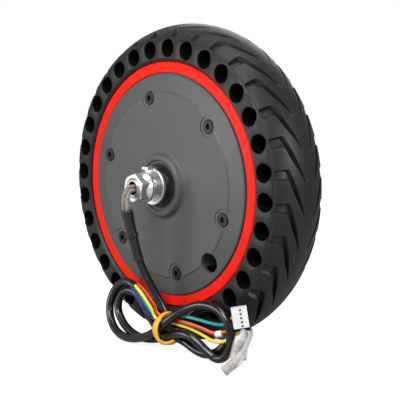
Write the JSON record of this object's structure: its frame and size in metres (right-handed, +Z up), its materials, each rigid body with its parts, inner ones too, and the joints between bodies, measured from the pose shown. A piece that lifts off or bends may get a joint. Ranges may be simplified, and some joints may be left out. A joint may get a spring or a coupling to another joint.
{
  "type": "hub motor wheel",
  "caption": "Hub motor wheel: a solid tyre on a flat alloy shell with red rim rings, turning on bearings about a hollow axle whose cable hangs in a tied hank.",
  "frame": {"origin": "centre of the wheel, on the axle midway between the tyre's sidewalls", "axes": "+Y along the axle away from the side the cable leaves, +Z up towards the tops of the washers' tabs, +X sideways"},
  "size_m": [0.2136, 0.111, 0.2134],
  "materials": {
    "alloy": "satin grey powder coat",
    "rubber": "satin black solid rubber",
    "ring": "semi-gloss red",
    "zinc": "zinc-plated",
    "axle_steel": "turned",
    "bearing_steel": "ground",
    "cage_steel": "pressed",
    "screw_steel": "black oxide",
    "shaft_seal": "matte",
    "gasket": "matte",
    "flux_steel": "machined",
    "magnet": "nickel-plated",
    "lamination": "stamped stack",
    "carrier": "die-cast",
    "insulator": "matte",
    "winding": "enamelled copper",
    "board": "solder mask",
    "sensor": "matte",
    "sleeving": "beige sleeving",
    "shrink": "satin",
    "jacket": "satin black jacket",
    "tie": "semi-gloss",
    "wire_u": "green insulation",
    "wire_v": "yellow insulation",
    "wire_w": "blue insulation",
    "hall_wire": "orange insulation",
    "collar": "translucent white",
    "clear_sleeve": "clear soft sleeve",
    "contact": "plated brass",
    "plug": "white nylon"
  },
  "bodies": {
    "stator": {"axle": "axle_steel", "axle_nut_far": "zinc", "axle_nut_near": "zinc", "bearing_far_inner_ring": "bearing_steel", "bearing_near_inner_ring": "bearing_steel", "bullet_socket_u": "contact", "bullet_socket_v": "contact", "bullet_socket_w": "contact", "cable_hank": "jacket", "cable_tie": "tie", "hall_board": "board", "hall_connector": "plug", "hall_contacts": "contact", "hall_sensors": "sensor", "hall_wires": "hall_wire", "heat_shrink_lower": "shrink", "heat_shrink_upper": "shrink", "inner_leads": "sleeving", "insulator_far": "insulator", "insulator_near": "insulator", "lead_sleeving": "sleeving", "motor_cable": "jacket", "phase_wire_u": "wire_u", "phase_wire_v": "wire_v", "phase_wire_w": "wire_w", "spacer_far": "zinc", "spacer_near": "zinc", "stator_core": "lamination", "stator_key": "axle_steel", "stator_support": "carrier", "tab_washer_far": "zinc", "tab_washer_near": "zinc", "terminal_sleeve_u": "clear_sleeve", "terminal_sleeve_v": "clear_sleeve", "terminal_sleeve_w": "clear_sleeve", "winding_u": "winding", "winding_v": "winding", "winding_w": "winding", "wire_collar": "collar"},
    "wheel": {"hub_shell": "alloy", "cover": "alloy", "cover_gasket": "gasket", "cover_screws": "screw_steel", "flux_ring": "flux_steel", "magnets_north": "magnet", "magnets_south": "magnet", "bearing_near_outer_ring": "bearing_steel", "bearing_far_outer_ring": "bearing_steel", "bearing_near_shields": "cage_steel", "bearing_far_shields": "cage_steel", "seal_near": "shaft_seal", "seal_far": "shaft_seal", "rim_ring_near": "ring", "rim_ring_far": "ring", "tyre": "rubber"},
    "cage_near": {"bearing_near_balls": "bearing_steel", "bearing_near_cage": "cage_steel"},
    "cage_far": {"bearing_far_balls": "bearing_steel", "bearing_far_cage": "cage_steel"}
  },
  "joints": [
    {"name": "wheel_spin", "type": "hinge", "parent": "stator", "child": "wheel", "pos_m": [0, 0, 0], "axis": [0, 1, 0], "continuous": true},
    {"name": "cage_near_spin", "type": "hinge", "parent": "stator", "child": "cage_near", "pos_m": [0, 0, 0], "axis": [0, 1, 0], "continuous": true},
    {"name": "cage_far_spin", "type": "hinge", "parent": "stator", "child": "cage_far", "pos_m": [0, 0, 0], "axis": [0, 1, 0], "continuous": true}
  ],
  "couplings": [
    {"joint": "cage_near_spin", "follows": "wheel_spin", "ratio": 0.618},
    {"joint": "cage_far_spin", "follows": "wheel_spin", "ratio": 0.618}
  ]
}
